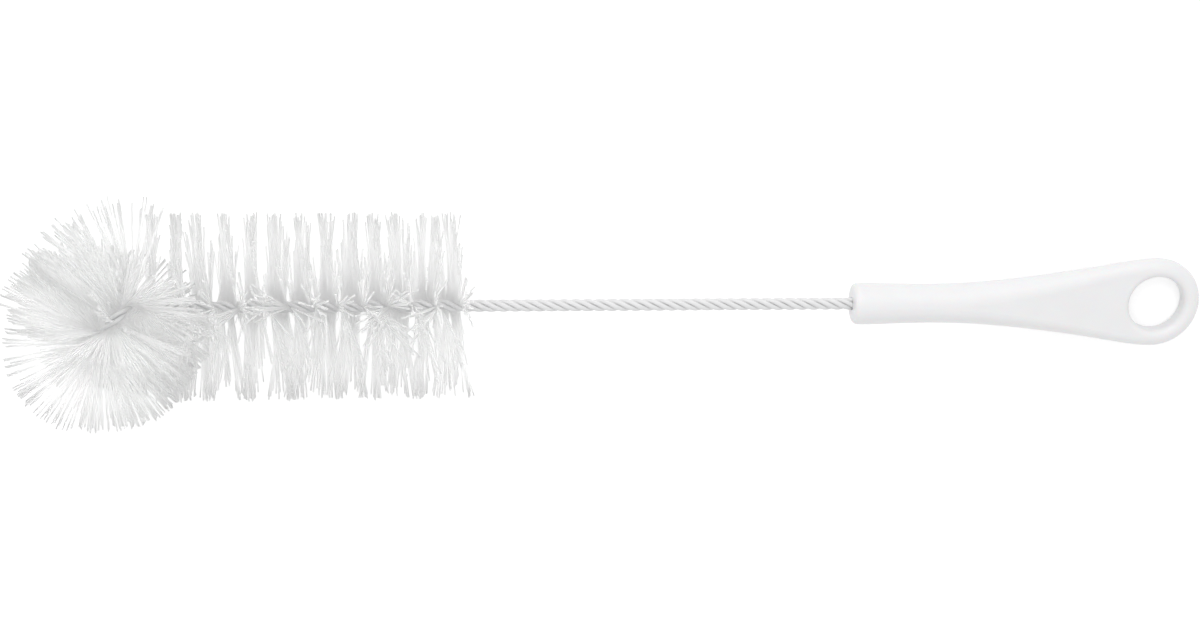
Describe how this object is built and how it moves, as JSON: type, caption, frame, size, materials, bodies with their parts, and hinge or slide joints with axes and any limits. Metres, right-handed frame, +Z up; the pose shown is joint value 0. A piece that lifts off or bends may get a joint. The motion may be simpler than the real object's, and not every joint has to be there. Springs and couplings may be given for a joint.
{
  "type": "bottle brush",
  "caption": "Bottle brush with a round bristle head on a twisted wire stem and a moulded handle with an eye to hang it by.",
  "frame": {"origin": "on the floor, under the middle of the bounding box", "axes": "+X from the bristle head towards the handle, +Z up, with the brush lying at rest"},
  "size_m": [0.3963, 0.0768, 0.0926],
  "materials": {
    "handle": "satin",
    "wire": "coated",
    "bristles": "plastic filament"
  },
  "bodies": {
    "root": {"handle": "handle", "barrel_bristles": "bristles", "ball_bristles": "bristles", "core_wire_1": "wire", "core_wire_2": "wire", "core_wire_3": "wire", "core_wire_4": "wire"}
  },
  "joints": []
}
